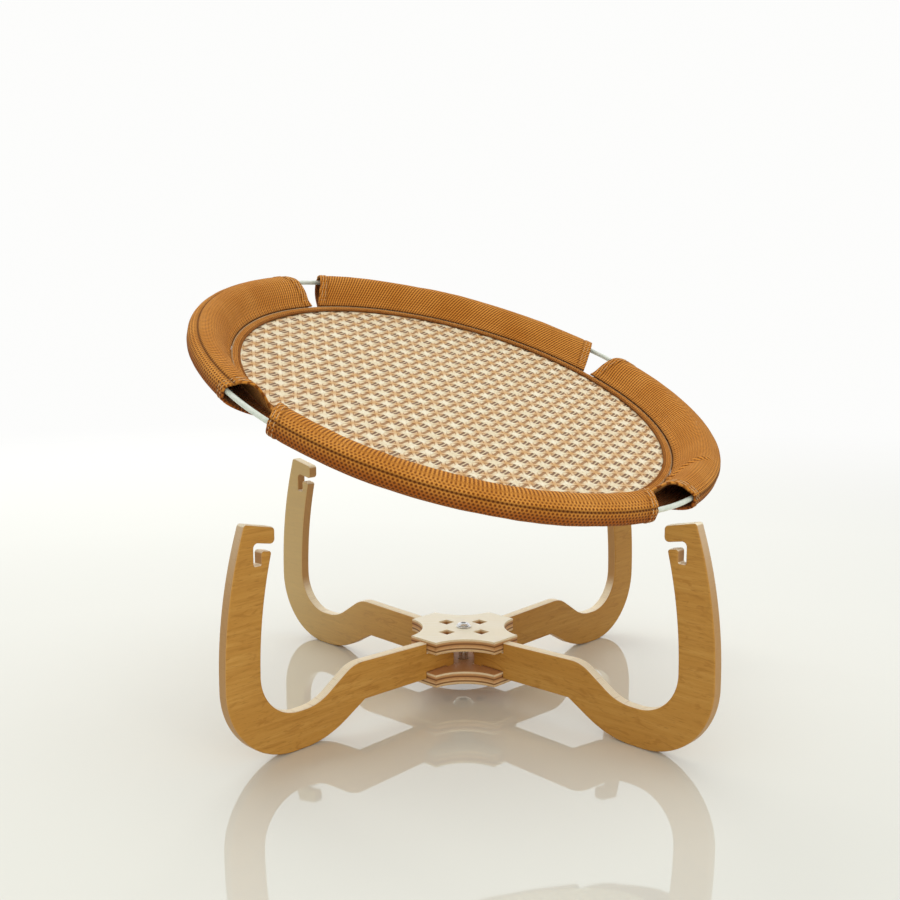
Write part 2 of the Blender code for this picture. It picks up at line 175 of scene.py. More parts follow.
# The cloth of the sleeves
HEM = 8.0 * MM               # width of the hem at a sleeve's open end
HEM_RISE = 0.45 * MM
HEM_EDGE = 0.35 * MM         # how softly the hem's rise ends
SKEW = {"back": -0.7}        # lean of the ribs, as length along the hoop for each length across it
FOLDS = {"right": ((62 * MM, math.radians(-20.1)), (90 * MM, math.radians(-26.2)))}
FOLD_RISE = 1.5 * MM
GROOVE_DEPTH = 1.1 * MM
GROOVE_HALF = 0.9 * MM
GROOVE_SWELL = 0.3 * MM      # of the cloth on both sides of a groove
WANDER = 0.5 * MM            # of the groove along its sleeve
WRINKLE = 0.55 * MM
END_SLACK = 0.5 * MM         # looser cloth towards the open ends
SEAM_ZONE = 9.0 * MM         # wrinkles grow over this distance from the seam
PUCKER = 0.28 * MM
PUCKER_PITCH = 7.5 * MM
COLUMN = 1.6 * MM            # spacing of the sleeve's columns and rows
END_ZONE = 12.0 * MM         # part at each open end that has finer columns
MESH_ALONG = 3.0 * MM        # holes of the mesh cloth along the hoop
MESH_ACROSS = 4.6 * MM       # and across it, over two staggered rows
# Painted shade on the inner surface of the sleeves, on the same scale as the painted shade in creases
INSIDE_SHADE = 0.6
HOLES_END = (0.52, 0.66)     # shares of the section between which holes close up into ribs
UNDERSIDE_SHADE_END = (0.42, 0.53)      # and the painted shade on the cloth below the rod fades out

# The seams: tape and stitches
TAPE_PITCH = 2.6 * MM
TAPE_PUCKER = 0.12 * MM
TAPE_SHADE = 2.2 * MM        # width of the painted shade along the inner rim
STITCH_D = 0.45 * MM
STITCH_FORM = ((0.0, 0.35, 0.0), (0.12, 0.85, 0.3), (0.5, 1.0, 0.55),
               (0.88, 0.85, 0.3), (1.0, 0.35, 0.0))     # shares of length, width and rise
HEM_ROWS = (2.6 * MM, 6.2 * MM)       # rows of stitches, from the open end
HEM_PITCH = 2.6 * MM
HEM_STITCH = 1.9 * MM
HEM_CLEAR = 4.0 * MM
OVERLOCK_R = MAT_R - 0.7 * MM
TAPE_STITCH_R = TAPE_IN + 1.7 * MM

# The woven mat
STAR_PITCH = 13.1 * MM       # between two stars across the dashes
DASH_PITCH = 16.9 * MM       # between two stars along the dashes
WEAVE_TURN = math.radians(-29.2)
WEAVE_RISE = 0.5 * MM
MAT_WAVE = 0.5 * MM          # slow unevenness of the mat
WEAVE_RINGS = 110
WEAVE_SPOKES = 660

# The camera, fitted to the photograph
LENS = 43.55
SENSOR = 36.0
CAMERA_PLACE = (-0.02442, -0.88853, 0.32966)
CAMERA_TURN = (math.radians(82.17), 0, math.radians(-1.086))

# The floor, the surround and the lamps: name, place, aim, width and power
FLOOR_TONE = (229, 231, 222)
FLOOR_HALF = 30.0
FLOOR_DROP = 0.2 * MM
FLOOR_ROUGHNESS = 0.03
FLOOR_GLOSS = 0.9
FLOOR_COAT = 0.7
FLOOR_FADE = (0.75, 2.2)     # radii where the white starts and where it is full
SURROUND = (1.0, 1.0, 0.99, 1)
SURROUND_LEVEL = 0.98
SKY_TONE = (1.0, 0.99, 0.97, 1)
SKY_LEVEL = 0.56
LAMP_TONE = (1.0, 0.98, 0.95)
LAMPS = (("window", (-0.7, 1.8, 1.0), (0, 0, 0.12), 2.0, 31.0),
         ("ceiling", (0.2, 0.1, 1.9), (0, 0, 0.2), 1.4, 9.0),
         ("fill", (0.4, -1.8, 0.9), (0, 0, 0.15), 1.6, 12.0))


def linear(red, green, blue):
    """A colour read off the photograph (0 to 255) as the shader takes it."""
    def channel(value):
        value /= 255
        return value / 12.92 if value <= 0.04045 else ((value + 0.055) / 1.055) ** 2.4
    return channel(red), channel(green), channel(blue), 1.0


class Nodes:
    """A node tree under construction, and short ways to build it."""

    def __init__(self, tree):
        self.tree = tree

    def feed(self, socket, value):
        if isinstance(value, bpy.types.NodeSocket):
            self.tree.links.new(value, socket)
        else:
            socket.default_value = value

    def node(self, kind, inputs=(), **settings):
        """A new node with its settings, and with values or links for its inputs: in order, or by name."""
        made = self.tree.nodes.new("ShaderNode" + kind)
        for key, value in settings.items():
            setattr(made, key, value)
        for key, value in inputs.items() if isinstance(inputs, dict) else enumerate(inputs):
            self.feed(made.inputs[key], value)
        return made

    def math(self, operation, a, b=0.0):
        return self.node("Math", (a, b), operation=operation).outputs[0]

    def plus(self, a, b):
        return self.math('ADD', a, b)

    def minus(self, a, b):
        return self.math('SUBTRACT', a, b)

    def times(self, a, b):
        return self.math('MULTIPLY', a, b)

    def blend(self, share, a, b):
        """One shader passing into another."""
        return self.node("MixShader", (share, a, b)).outputs[0]

    def seen_rays(self):
        """1 for the rays of the eye, of reflections and of what shows through, 0 for light on the object."""
        rays = self.node("LightPath").outputs
        either = self.math('MAXIMUM', rays["Is Camera Ray"], rays["Is Glossy Ray"])
        return self.math('MAXIMUM', either, rays["Is Transmission Ray"])


class Finish(Nodes):
    """A material round a Principled shader. Its colours are sockets, or (red, green, blue) from 0 to 255."""

    def __init__(self, name, roughness, metallic=0.0, specular=0.5, lay=None):
        self.lay = lay
        self.material = bpy.data.materials.new(name)
        self.material.use_nodes = True
        super().__init__(self.material.node_tree)
        self.shader = self.tree.nodes["Principled BSDF"]
        self.give("Roughness", roughness)
        self.give("Metallic", metallic)
        self.give("Specular IOR Level", specular)

    def give(self, name, value):
        self.feed(self.shader.inputs[name], value)

    def place(self, scale=(1, 1, 1), offset=(0, 0, 0)):
        """Place on the piece, in its own frame: the object's, or the one that an attribute keeps."""
        here = (self.node("Attribute", attribute_name=self.lay).outputs["Vector"] if self.lay
                else self.node("TexCoord").outputs["Object"])
        return self.node("Mapping", {"Vector": here, "Location": offset, "Scale": scale}).outputs[0]

    def facing(self):
        """Direction that the surface faces, as X, Y and Z."""
        return self.split(self.node("TexCoord").outputs["Normal"])

    def vector(self, operation, a, b=(0, 0, 0)):
        made = self.node("VectorMath", (a, b), operation=operation)
        return made.outputs["Value" if operation in ("LENGTH", "DOT_PRODUCT") else "Vector"]

    def split(self, vector):
        return self.node("SeparateXYZ", (vector,)).outputs

    def radius(self):
        """Distance from the upright axis of the piece's own frame."""
        return self.vector('LENGTH', self.place((1, 1, 0)))

    def apart(self, a, b):
        return self.math('ABSOLUTE', self.minus(a, b))

    def noise(self, scale, detail=2.0, roughness=0.5, distortion=0.0, offset=(0, 0, 0)):
        """Noise whose count per metre is given, as one number or along each axis of the piece."""
        scale = scale if isinstance(scale, tuple) else (scale,) * 3
        return self.node("TexNoise", {
            "Vector": self.place(scale, offset), "Scale": 1.0, "Detail": detail, "Roughness": roughness,
            "Distortion": distortion}).outputs["Fac"]

    def fade(self, value, low, high, to_low=0.0, to_high=1.0):
        """Smooth step of a value from one level to another."""
        return self.node("MapRange", (value, low, high, to_low, to_high),
                         interpolation_type='SMOOTHSTEP').outputs[0]

    def ramp(self, value, stops):
        made = self.node("ValToRGB", (value,))
        while len(made.color_ramp.elements) < len(stops):
            made.color_ramp.elements.new(1.0)
        for element, (place, colour) in zip(made.color_ramp.elements, stops):
            element.position = place
            element.color = linear(*colour)
        return made.outputs["Color"]

    def mix(self, share, a, b):
        a, b = [v if isinstance(v, bpy.types.NodeSocket) else linear(*v) for v in (a, b)]
        return self.node("Mix", {0: share, 6: a, 7: b}, data_type='RGBA').outputs[2]

    def made(self, colour, height, distance, strength, rough=None):
        """The material with its colour and bump, and its roughness where that follows the bump's height."""
        self.give("Base Color", colour)
        if rough:
            self.give("Roughness", self.fade(height, 0.25, 0.75, *rough))
        bump = self.node("Bump", {"Strength": strength, "Distance": distance, "Height": height})
        self.give("Normal", bump.outputs[0])
        return self.material


def leg_wood(name, pale, dark, shift):
    """Stained ply: grain along the arm on both faces, thin layers on the edges, and painted light that makes
    edges facing up paler than those facing sideways.
    """
    wood = Finish(name, 0.5, specular=0.3)
    grain = wood.noise((20, 420, 90), 4.0, 0.6, offset=(shift, shift, 0))
    broad = wood.noise((9, 42, 20), offset=(0, shift, 0))
    figure = wood.noise((45, 170, 60), 2.0, 0.7, 1.2, offset=(shift, 0, 0))
    flecks = wood.noise((150, 1500, 200), 1.0, offset=(shift, 0, 0))
    face = wood.ramp(grain, [(0.25, (178, 124, 50)), (0.5, (198, 145, 66)), (0.75, (212, 163, 84))])
    face = wood.mix(wood.fade(broad, 0.3, 0.75, 0.0, 0.8), face, (193, 138, 58))
    face = wood.mix(wood.fade(figure, 0.54, 0.68, 0.0, 0.5), face, (168, 112, 42))
    face = wood.mix(wood.fade(flecks, 0.62, 0.74, 0.0, 0.4), face, (134, 86, 30))
    x, y, z = wood.split(wood.place())
    out = wood.plus(x, wood.times(y, 0.5))
    face = wood.mix(wood.fade(out, 0.08, 0.27, 0.2 * pale, pale), face, (220, 196, 142))
    face = wood.mix(dark, face, (134, 94, 40))
    jitter = wood.times(wood.noise(60), 0.25)
    layers = wood.math('FRACT', wood.plus(wood.math('DIVIDE', z, VENEER), jitter))
    # Painted light: edges facing up get the pale lit ramp, edges facing sideways the darker shaded one.
    side = wood.ramp(layers, [(0.0, (160, 118, 72)), (0.12, (186, 142, 90)), (0.5, (194, 152, 98)),
                              (0.9, (180, 136, 84))])
    top = wood.ramp(layers, [(0.0, (226, 206, 168)), (0.12, (246, 234, 206)), (0.5, (250, 240, 216)),
                             (0.9, (240, 226, 194))])
    normal = wood.facing()
    edge = wood.mix(wood.fade(normal[1], 0.1, 0.65), side, top)
    ends = wood.noise((900, 900, 60))
    edge = wood.mix(wood.fade(ends, 0.55, 0.8, 0.0, 0.35), edge, (156, 112, 66))
    colour = wood.mix(wood.fade(wood.math('ABSOLUTE', normal[2]), 0.55, 0.85), edge, face)
    return wood.made(colour, grain, 0.12 * MM, 0.5, (0.42, 0.55))


def plate_ply(name, top):
    """Birch ply: pale faces, dark and light layers on the edges."""
    wood = Finish(name, 0.5, specular=0.35)
    grain = wood.noise((30, 520, 90), 3.0)
    face = wood.mix(wood.fade(grain, 0.3, 0.7), (252, 250, 234), (255, 254, 242))
    face = wood.mix(wood.fade(wood.noise((9, 30, 9), 3.0), 0.35, 0.7, 0.0, 0.5), face, (250, 246, 226))
    if not top:
        face = wood.mix(0.9, face, (188, 124, 54))
    z = wood.split(wood.place())[2]
    wave = wood.times(wood.noise((45, 45, 8)), 0.05)
    level = wood.plus(wood.math('DIVIDE', wood.plus(z, PLATE_T / 2), PLATE_T), wave)
    edge = wood.ramp(level, [
        (0.03, (214, 178, 128)), (0.20, (226, 194, 146)), (0.24, (132, 90, 50)),
        (0.32, (138, 94, 54)), (0.36, (222, 180, 128)), (0.44, (216, 172, 118)),
        (0.48, (204, 152, 98)), (0.57, (198, 146, 92)), (0.61, (128, 84, 46)),
        (0.69, (134, 90, 50)), (0.73, (192, 140, 88)), (0.84, (206, 160, 108)),
        (0.90, (236, 218, 180))])
    streak = wood.noise((260, 260, 1200))
    edge = wood.mix(wood.fade(streak, 0.5, 0.75, 0.0, 0.3), edge, (140, 96, 58))
    colour = wood.mix(wood.fade(wood.math('ABSOLUTE', wood.facing()[2]), 0.6, 0.85), edge, face)
    return wood.made(colour, grain, 0.1 * MM, 0.4, (0.42, 0.55))


def plated_steel(name, tone, grooves=None):
    """Plated steel, with painted shade below the radius of its grooves, given as (dark at, bright at)."""
    steel = Finish(name, 0.16, 1.0)
    marks = steel.noise((400, 400, 900), 3.0)
    plated = steel.mix(steel.fade(marks, 0.35, 0.7), tone, [0.91 * v for v in tone])
    # Painted shade in the hollows of the flutes.
    if grooves:
        plated = steel.mix(steel.fade(steel.radius(), *grooves), (38, 36, 36), plated)
    return steel.made(plated, marks, 0.03 * MM, 0.3, (0.12, 0.26))


def coated_rod():
    """Pale coating with faint spots."""
    coat = Finish("coated_rod", 0.35, lay="bed")
    coat.give("Coat Weight", 0.3)
    spots = coat.noise(300, 3.0)
    colour = coat.mix(coat.fade(spots, 0.4, 0.65), (216, 226, 212), (228, 234, 224))
    return coat.made(colour, spots, 0.05 * MM, 0.4, (0.28, 0.42))


def mesh_cloth(length):
    """Honeycomb mesh cloth: staggered holes that close up into ribs on the slope down to the mat, with
    painted shade below the rod, in creases and on the inner surface.
    """
    cloth = Finish("mesh_cloth", 0.9, specular=0.12, lay="bed")
    cloth.give("Sheen Weight", 0.12)
    cloth.give("Sheen Tint", linear(255, 226, 176))
    cloth.give("Sheen Roughness", 0.5)
    lay = cloth.node("UVMap", uv_map="cloth").outputs[0]
    u, v = cloth.split(lay)[:2]
    share = cloth.math('DIVIDE', v, length)
    cells = cloth.vector('MULTIPLY', lay, (1 / MESH_ALONG, 1 / MESH_ACROSS, 0))

    def to_hole(shift):
        """Distance in millimetres from the middle of the nearest hole of one of the two staggered sets."""
        inside = cloth.vector('FRACTION', cloth.vector('ADD', cells, shift))
        off = cloth.vector('SUBTRACT', inside, (0.5, 0.5, 0))
        return cloth.vector('LENGTH', cloth.vector('MULTIPLY', off, (MESH_ALONG / MM, MESH_ACROSS / MM, 0)))

    near = cloth.math('MINIMUM', to_hole((0, 0, 0)), to_hole((0.5, 0.5, 0)))
    holes = cloth.fade(near, 0.45, 1.2)
    rib = cloth.math('COSINE', cloth.times(u, math.tau / MESH_ALONG))
    cross = cloth.math('COSINE', cloth.times(v, 2 * math.tau / MESH_ACROSS))
    ribs = cloth.fade(cloth.plus(rib, cloth.times(cross, 0.35)), -1.0, 0.6, 0.1, 1.0)
    tight = cloth.fade(share, *HOLES_END)
    threads = cloth.plus(cloth.times(holes, cloth.minus(1.0, tight)), cloth.times(ribs, tight))
    broad = cloth.noise(28, 3.0)
    fuzz = cloth.noise(1600)
    yarn = cloth.mix(cloth.fade(broad, 0.3, 0.7), (216, 144, 58), (234, 164, 76))
    yarn = cloth.mix(cloth.fade(fuzz, 0.35, 0.7, 0.0, 0.4), yarn, (180, 104, 32))
    # Painted shade: the cloth and its holes darken below the rod, where the underside of the bed is in shade.
    below = cloth.fade(share, *UNDERSIDE_SHADE_END, 0.9, 0.0)
    yarn = cloth.mix(below, yarn, (156, 80, 24))
    hole = cloth.mix(below, (126, 66, 20), (96, 46, 15))
    colour = cloth.mix(threads, hole, yarn)
    # Painted shade in the creases and on the inner surface, from the crease attribute.
    crease_shade = cloth.node("Attribute", attribute_name="crease").outputs["Fac"]
    colour = cloth.mix(cloth.times(crease_shade, 0.8), colour, (74, 34, 10))
    return cloth.made(colour, cloth.plus(threads, cloth.times(fuzz, 0.25)), 0.7 * MM, 0.8)


def woven_straw():
    """Cream stars joined by tan diagonal strips, with dark dashes in the gaps between them."""
    straw = Finish("woven_straw", 0.6, specular=0.25, lay="bed")
    lay = straw.place()
    bend = straw.noise(60, 1.0)
    slack = straw.times(straw.minus(bend, 0.5), 0.16)
    c, s = math.cos(WEAVE_TURN), math.sin(WEAVE_TURN)

    def from_star(direction):
        """Distance from the nearest star along one axis of the weave, in shares of the pitch."""
        value = straw.plus(straw.vector('DOT_PRODUCT', lay, direction), slack)
        return straw.apart(straw.math('FRACT', straw.plus(value, 0.5)), 0.5)

    def dash(across, half_width, along, half_length):
        """Mask of a dash, from its two distances in millimetres."""
        return straw.times(straw.fade(across, half_width - 0.3, half_width + 0.35, 1.0, 0.0),
                           straw.fade(along, half_length - 0.5, half_length + 0.6, 1.0, 0.0))

    a = from_star((c / STAR_PITCH, s / STAR_PITCH, 0))
    b = from_star((-s / DASH_PITCH, c / DASH_PITCH, 0))
    x, y = straw.times(a, STAR_PITCH / MM), straw.times(b, DASH_PITCH / MM)
    off_strip = straw.apart(a, b)
    out = straw.plus(a, b)
    star = straw.fade(straw.plus(out, straw.times(off_strip, 1.3)), 0.44, 0.57, 1.0, 0.0)
    strip = straw.fade(off_strip, 0.1, 0.19, 1.0, 0.0)
    beside = straw.apart(off_strip, 0.15)
    outline = straw.times(straw.fade(beside, 0.02, 0.055, 1.0, 0.0), straw.fade(out, 0.3, 0.6))
    pair = dash(straw.apart(x, 1.4), 0.85, straw.minus(0.5 * DASH_PITCH / MM, y), 3.9)
    single = dash(straw.minus(0.5 * STAR_PITCH / MM, x), 1.1, y, 4.8)
    fine = straw.noise((700, 700, 300))
    tint = straw.noise((120, 120, 60), 1.0, offset=(0.3, 0.1, 0))
    cream = straw.mix(straw.fade(tint, 0.35, 0.65), (248, 240, 214), (238, 225, 192))
    tan = straw.mix(straw.fade(tint, 0.4, 0.6), (222, 186, 138), (212, 168, 112))
    ground = straw.mix(straw.fade(out, 0.38, 0.9), (240, 222, 186), tan)
    ground = straw.mix(straw.times(outline, 0.75), ground, (184, 122, 64))
    ground = straw.mix(straw.times(single, 0.85), ground, (152, 106, 62))
    ground = straw.mix(straw.times(pair, 0.9), ground, (112, 76, 54))
    colour = straw.mix(star, ground, cream)
    colour = straw.mix(straw.fade(fine, 0.45, 0.75, 0.0, 0.3), colour, (176, 140, 98))
    height = straw.plus(straw.math('MAXIMUM', strip, star), straw.times(fine, 0.2))
    height = straw.minus(height, straw.plus(pair, straw.times(single, 0.7)))
    return straw.made(colour, height, 0.7 * MM, 0.9)


def ribbed_tape():
    """Tape with crossed diagonal ribs, with painted shade along its inner rim."""
    tape = Finish("rim_tape", 0.85, specular=0.15, lay="bed")
    lay = tape.node("UVMap", uv_map="cloth").outputs[0]
    turned = tape.vector('MULTIPLY', lay, (math.tau / TAPE_PITCH, math.tau / TAPE_PITCH, 0))
    u, v = tape.split(turned)[:2]
    rib = tape.times(tape.math('SINE', tape.plus(u, v)), tape.math('SINE', tape.minus(u, v)))
    fuzz = tape.noise(1200)
    broad = tape.noise(40)
    yarn = tape.mix(tape.fade(broad, 0.3, 0.7), (206, 138, 62), (222, 156, 78))
    colour = tape.mix(tape.fade(rib, -0.7, 0.1), (118, 62, 20), yarn)
    # Painted shade where the tape meets the mat.
    inner = tape.fade(tape.radius(), TAPE_IN, TAPE_IN + TAPE_SHADE, 0.75, 0.0)
    colour = tape.mix(inner, colour, (96, 50, 18))
    colour = tape.mix(tape.fade(fuzz, 0.4, 0.7, 0.0, 0.4), colour, (134, 74, 24))
    return tape.made(colour, tape.plus(rib, fuzz), 0.25 * MM, 0.8)


def thread(name, tone):
    """Twisted sewing thread."""
    yarn = Finish(name, 0.7, specular=0.2, lay="bed")
    twist = yarn.noise(2500)
    colour = yarn.mix(yarn.fade(twist, 0.35, 0.7, 0.0, 0.35), tone, [0.7 * v for v in tone])
    return yarn.made(colour, twist, 0.1 * MM, 0.6)


def put(name, data):
    """A new object in the scene."""
    made = bpy.data.objects.new(name, data)
    bpy.context.scene.collection.objects.link(made)
    return made


def add_piece(name, mesh, finish, body, node=None, at=Matrix(), sharp=35):
    """A finished piece: material, smooth shading, place, body and the CAD node that it stands for."""
    mesh.name = name
    mesh.materials.append(finish)
    mesh.shade_smooth()
    mesh.set_sharp_from_angle(angle=math.radians(sharp))
    piece = put(name, mesh)
    if body == "bed":
        first = [0.0] * (3 * len(mesh.vertices))
        mesh.vertices.foreach_get("co", first)
        mesh.attributes.new("bed", 'FLOAT_VECTOR', 'POINT').data.foreach_set("vector", first)
        mesh.transform(bed_place())
    else:
        piece.matrix_world = Matrix.Translation(STAND) @ at
    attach(piece, body)
    if node:
        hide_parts(node)
    return piece


def skin(shape, rings, closed=False):
    """Faces from each ring of corners to the next one, where a ring of one corner is a tip."""
    made = []
    for here, after in zip(rings, rings[1:] + rings[:1] if closed else rings[1:]):
        for k in range(max(len(here), len(after))):
            corners = [here[k % len(here)], after[k % len(after)],
                       after[(k + 1) % len(after)], here[(k + 1) % len(here)]]
            made.append(shape.faces.new(list(dict.fromkeys(corners))))
    return made


def mesh_from(shape):
    """Mesh of a drawn shape, with its faces turned outwards."""
    bmesh.ops.recalc_face_normals(shape, faces=shape.faces)
    mesh = bpy.data.meshes.new("piece")
    shape.to_mesh(mesh)
    shape.free()
    return mesh


def rounded(corners):
    """Outline of a polygon whose corners are (x, y, bend): each corner gets a fillet of that radius."""
    points = []
    for i, (x, y, bend) in enumerate(corners):
        here = Vector((x, y))
        back = (Vector(corners[i - 1][:2]) - here).normalized()
        ahead = (Vector(corners[(i + 1) % len(corners)][:2]) - here).normalized()
        opening = back.angle(ahead)
        if bend <= 0 or opening > math.radians(179.5):
            points.append(here)
            continue
        centre = here + (back + ahead).normalized() * (bend / math.sin(opening / 2))
        start = here + back * (bend / math.tan(opening / 2))
        turn = math.pi - opening
        steps = max(4, math.ceil(turn / (2 * math.acos(1 - ARC_SAG / bend))))
        side = 1 if (here - start).cross(ahead) > 0 else -1
        points += [centre + Matrix.Rotation(side * turn * k / steps, 2) @ (start - centre)
                   for k in range(steps + 1)]
    return points


def turns(count):
    """Evenly spaced angles of one whole turn."""
    return [math.tau * k / count for k in range(count)]


def polar(radius, turn, z=0.0):
    return Vector((radius * math.cos(turn), radius * math.sin(turn), z))


def board(outlines, thickness, edge):
    """Mesh of a flat board with rounded edges: the first outline is its rim, the others go through it."""
    curve = bpy.data.curves.new("draft", 'CURVE')
    curve.dimensions = '2D'
    curve.fill_mode = 'BOTH'
    curve.extrude = thickness / 2 - edge
    curve.bevel_depth = edge
    curve.offset = -edge
    curve.bevel_resolution = 3
    for outline in outlines:
        spline = curve.splines.new('POLY')
        spline.points.add(len(outline) - 1)
        for point, place in zip(spline.points, outline):
            point.co = (place.x, place.y, 0, 1)
        spline.use_cyclic_u = True
    draft = put("draft", curve)
    bpy.context.view_layer.update()
    mesh = bpy.data.meshes.new_from_object(draft.evaluated_get(bpy.context.evaluated_depsgraph_get()))
    bpy.data.objects.remove(draft)
    bpy.data.curves.remove(curve)
    shape = bmesh.new()
    shape.from_mesh(mesh)
    bmesh.ops.remove_doubles(shape, verts=shape.verts, dist=0.005 * MM)
    shape.to_mesh(mesh)
    shape.free()
    return mesh


def flat_faces(piece):
    """Keeps a board's faces flat where they meet its rounded edges."""
    weighted = piece.modifiers.new("flat_faces", 'WEIGHTED_NORMAL')
    weighted.keep_sharp, weighted.weight = True, 100


def bowed(face_r, height):
    """Corner of an upright's bowed face for rounded(), and the radius that the face has at a height."""
    lean = math.asin((height - BOW_TAIL - BOW_FROM) / BOW)
    corner_z = BOW_FROM + BOW * math.tan(lean / 2)
    return (face_r, corner_z, BOW), face_r - (height - corner_z) * math.tan(lean)


def leg_outline():
    """The S-shaped leg with its two pairs of hub steps and the hook, as one outline."""
    inner_face = UPRIGHT_R - LEG_W
    stop = PLATE_REACH + SEAT
    low, high = LOWER_TOP + SEAT, UPPER_BOTTOM - SEAT
    tenon = (TENON_R - PLY / 2, TENON_R + PLY / 2)
    knee = (UPRIGHT_R - KNEE_IN, ARM_UNDER + ARM_RISE)
    foot_corner = knee[0] + knee[1] / math.tan(KNEE_SLOPE)
    crest = CEILING_Z + LIP_T + LIP_CREST
    hump = (UPRIGHT_R - HUMP_IN, ARM_TOP + HUMP_RISE)
    valley = LEG_W
    back_corner = hump[0] + (hump[1] - valley) / math.tan(BACK_SLOPE)
    nose = POCKET_OUT - LIP_REACH
    outer_bow, outer_top = bowed(UPRIGHT_R, crest)
    inner_bow, inner_top = bowed(inner_face, TONGUE_Z)

    def sloped(r, level):
        return r, level + (r - HOOP_R + MOUTH_LEVEL) * math.tan(MOUTH_SLOPE)

    return rounded([
        (tenon[0], low - TENON_H, 0), (tenon[1], low - TENON_H, 0),
        (tenon[1], low, 0), (stop, low, 0), (stop, ARM_UNDER, 0), (*knee, KNEE_BEND),
        (foot_corner, 0, FOOT_BEND_IN), (UPRIGHT_R, 0, FOOT_BEND_OUT),
        outer_bow, (outer_top, crest, CREST_BEND),
        (nose, CEILING_Z + LIP_T, LIP_BEND), (*sloped(nose, CEILING_Z), LIP_BEND),
        (*sloped(POCKET_OUT, CEILING_Z), THROAT_BEND), (POCKET_OUT, POCKET_Z, POCKET_BEND),
        (POCKET_IN, POCKET_Z, POCKET_BEND), (*sloped(POCKET_IN, TONGUE_Z), TONGUE_BEND),
        (*sloped(inner_top, TONGUE_Z), TONGUE_BEND), inner_bow,
        (inner_face, valley, VALLEY_BEND_OUT), (back_corner, valley, VALLEY_BEND_IN),
        (*hump, HUMP_BEND), (stop, ARM_TOP, 0), (stop, high, 0),
        (tenon[1], high, 0), (tenon[1], high + TENON_H, 0), (tenon[0], high + TENON_H, 0)])


def make_legs():
    outline = leg_outline()
    for i, (name, (azimuth, pale, dark)) in enumerate(LEGS.items()):
        turn = Matrix.Rotation(math.radians(azimuth), 4, 'Z') @ Matrix.Rotation(math.pi / 2, 4, 'X')
        wood = leg_wood("leg_ply_" + name, pale, dark, GRAIN_SHIFT * i)
        flat_faces(add_piece("ply_" + name, board([outline], PLY, LEG_EDGE), wood, "stand",
                             "leg_" + name, turn))


def plate_outline():
    """Four flat ends on the diagonals, with a hollow arc between each two."""
    end = Vector((PLATE_REACH, PLATE_END / 2))
    outward = Vector((1, 1)).normalized()
    waist, chord = outward * PLATE_WAIST, outward * end.dot(outward)
    half, sag = (end - chord).length, (chord - waist).length
    bend = (half ** 2 + sag ** 2) / (2 * sag)
    centre, sweep = waist + outward * bend, 2 * math.asin(half / bend)
    arc = [centre + Matrix.Rotation(-sweep * i / 32, 2) @ (end - centre) for i in range(33)]
    return [turn @ point for turn in DIAGONALS for point in arc]


def make_hub():
    mortises = [[turn @ Vector((TENON_R + x * MORTISE / 2, y * MORTISE / 2)) for x, y in SQUARE]
                for turn in DIAGONALS]
    for side, low, shaft in (("bottom", HUB_CLEAR, BARREL_D), ("top", UPPER_BOTTOM, BOLT_D)):
        hole = [polar(shaft / 2 + SEAT, turn) for turn in turns(48)]
        plate = board([plate_outline()] + mortises + [hole], PLATE_T, PLATE_EDGE)
        flat_faces(add_piece("plate_" + side, plate, plate_ply("birch_" + side, side == "top"), "stand",
                             "hub_plate_" + side, Matrix.Translation((0, 0, low + PLATE_T / 2))))


def turned_shape(profile, sides, wave=None, closed=False):
    """Closed solid turned round Z from (radius, height) points, where wave(turn, r, z) adds to a radius."""
    shape = bmesh.new()
    rings = []
    for r, z in profile:
        rings.append([shape.verts.new(polar(r + (wave(turn, r, z) if wave and r > 0 else 0.0), turn, z))
                      for turn in turns(sides if r > 0 else 1)])
    skin(shape, rings, closed)
    return mesh_from(shape)


def hexed(angle, radius):
    """Radius of a hexagon's side at an angle, where the hexagon's corners lie on the given radius."""
    return radius * math.cos(math.pi / 6) / math.cos((angle % (math.pi / 3)) - math.pi / 6)


